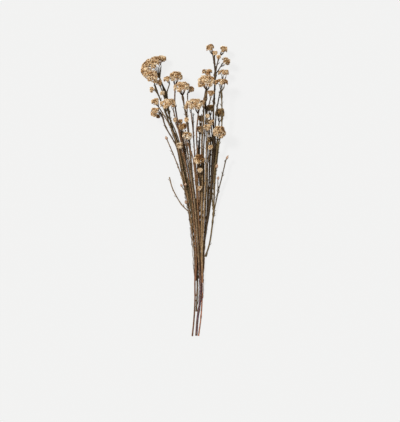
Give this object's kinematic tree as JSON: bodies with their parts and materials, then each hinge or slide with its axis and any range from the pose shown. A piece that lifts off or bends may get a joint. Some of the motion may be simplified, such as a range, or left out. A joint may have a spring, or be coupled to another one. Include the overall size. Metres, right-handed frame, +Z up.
{
  "type": "dried rice flower bunch",
  "caption": "Loose bunch of dried rice flower: thin forked woody stems, close together at the cut ends and spreading upwards, ending in domed heads of small papery cream florets.",
  "frame": {"origin": "on the surface that the bunch lies on, under the middle of its bounding box", "axes": "+X across the bunch, +Y along it from the cut ends to the flower heads, +Z up from the surface"},
  "size_m": [0.1788, 0.5858, 0.0553],
  "materials": {
    "brown_wood": "matte",
    "olive_wood": "matte",
    "red_brown_wood": "matte",
    "purple_wood": "matte",
    "dark_wood": "matte",
    "cream_florets": "matte",
    "pale_florets": "matte",
    "tan_florets": "matte",
    "olive_florets": "matte",
    "bud": "matte"
  },
  "bodies": {
    "root": {"stem_1": "brown_wood", "stem_2": "olive_wood", "stem_3": "red_brown_wood", "stem_4": "purple_wood", "stem_5": "red_brown_wood", "stem_6": "brown_wood", "stem_7": "olive_wood", "stem_8": "dark_wood", "stem_9": "dark_wood", "head_01": "cream_florets", "head_02": "cream_florets", "head_03": "cream_florets", "head_04": "cream_florets", "head_05": "cream_florets", "head_06": "cream_florets", "head_07": "cream_florets", "head_08": "pale_florets", "head_09": "cream_florets", "head_10": "cream_florets", "head_11": "tan_florets", "head_12": "cream_florets", "head_13": "cream_florets", "head_14": "tan_florets", "head_15": "cream_florets", "head_16": "tan_florets", "head_17": "pale_florets", "head_18": "pale_florets", "head_19": "tan_florets", "head_20": "tan_florets", "head_21": "olive_florets", "head_22": "tan_florets", "head_23": "cream_florets", "head_24": "pale_florets", "head_25": "cream_florets", "head_26": "cream_florets", "head_27": "cream_florets", "head_28": "cream_florets", "head_29": "cream_florets", "head_30": "cream_florets", "head_31": "cream_florets", "head_32": "cream_florets", "head_33": "cream_florets", "head_34": "cream_florets", "head_35": "cream_florets", "head_36": "olive_florets", "head_37": "olive_florets", "head_38": "cream_florets", "head_39": "cream_florets", "head_40": "cream_florets", "head_41": "cream_florets", "head_42": "cream_florets", "head_43": "cream_florets", "bud_1": "bud", "bud_2": "bud", "bud_3": "bud", "bud_4": "bud", "bud_5": "bud", "bud_6": "bud", "bud_7": "bud"}
  },
  "joints": []
}
